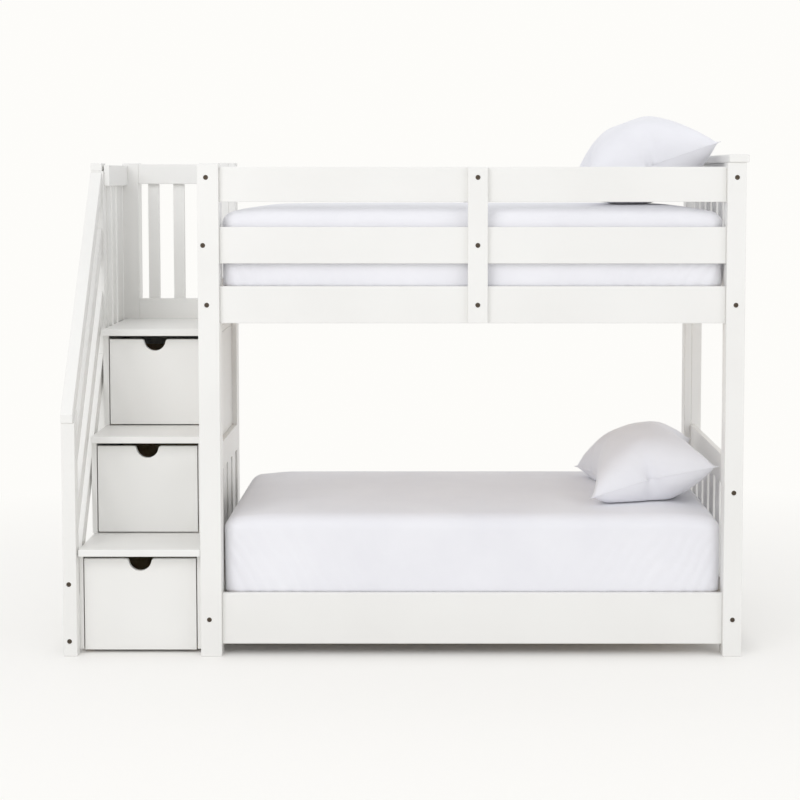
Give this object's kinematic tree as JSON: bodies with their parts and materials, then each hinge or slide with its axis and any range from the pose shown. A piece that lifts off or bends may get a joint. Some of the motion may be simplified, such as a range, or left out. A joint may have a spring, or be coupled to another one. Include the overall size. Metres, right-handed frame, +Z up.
{
  "type": "bunk bed with storage stairs",
  "caption": "Painted twin-over-twin bunk bed with guard rails and a side staircase whose steps hold pull-out drawers, with a slatted stair balustrade and a landing.",
  "frame": {"origin": "middle of the footprint, on the floor", "axes": "+X from the stairs to the headboards, -Y to the front where the drawers open, +Z up"},
  "size_m": [2.5934, 1.099, 2.0729],
  "materials": {
    "white_paint": "satin warm white paint",
    "pine": "plain clear pine",
    "drawer_floor": "thin pale board",
    "bolts": "dark bronze",
    "bedding": "smooth white cotton"
  },
  "bodies": {
    "frame": {"back_guard_rails": "white_paint", "back_left_post": "white_paint", "back_leg_boards": "white_paint", "back_right_post": "white_paint", "deck_ledgers": "pine", "drawer_runners": "pine", "drawer_shelves": "white_paint", "entry_post": "white_paint", "foot_guard": "white_paint", "footboard_rails": "white_paint", "footboard_slats": "white_paint", "frame_bolts": "bolts", "front_guard_rails": "white_paint", "front_left_post": "white_paint", "front_right_post": "white_paint", "guard_braces": "white_paint", "handrail": "white_paint", "handrail_level_end": "white_paint", "headboard_cap": "white_paint", "landing_back_rails": "white_paint", "landing_back_slats": "white_paint", "landing_post": "white_paint", "landing_tread": "white_paint", "lower_back_rail": "white_paint", "lower_deck_slats": "pine", "lower_front_rail": "white_paint", "lower_headboard_rails": "white_paint", "lower_headboard_slats": "white_paint", "lower_mattress": "bedding", "lower_pillow": "bedding", "newel_post": "white_paint", "side_guard_rail": "white_paint", "side_guard_slats": "white_paint", "slope_rails": "white_paint", "stair_back_left_post": "white_paint", "stair_back_panel": "white_paint", "stair_back_right_post": "white_paint", "stair_inner_panel": "white_paint", "stair_side_panel": "white_paint", "stair_stiles": "white_paint", "stair_stringers": "white_paint", "tread_one": "white_paint", "tread_two": "white_paint", "upper_back_rail": "white_paint", "upper_deck_slats": "pine", "upper_foot_rail": "white_paint", "upper_front_rail": "white_paint", "upper_headboard_rails": "white_paint", "upper_headboard_slats": "white_paint", "upper_mattress": "bedding", "upper_pillow": "bedding"},
    "drawer_one": {"drawer_one_box": "pine", "drawer_one_face": "white_paint", "drawer_one_floor": "drawer_floor"},
    "drawer_two": {"drawer_two_box": "pine", "drawer_two_face": "white_paint", "drawer_two_floor": "drawer_floor"},
    "drawer_three": {"drawer_three_box": "pine", "drawer_three_face": "white_paint", "drawer_three_floor": "drawer_floor"}
  },
  "joints": [
    {"name": "drawer_one_slide", "type": "slide", "parent": "frame", "child": "drawer_one", "axis": [0, -1, 0], "range_m": [0, 0.3]},
    {"name": "drawer_two_slide", "type": "slide", "parent": "frame", "child": "drawer_two", "axis": [0, -1, 0], "range_m": [0, 0.3]},
    {"name": "drawer_three_slide", "type": "slide", "parent": "frame", "child": "drawer_three", "axis": [0, -1, 0], "range_m": [0, 0.3]}
  ]
}
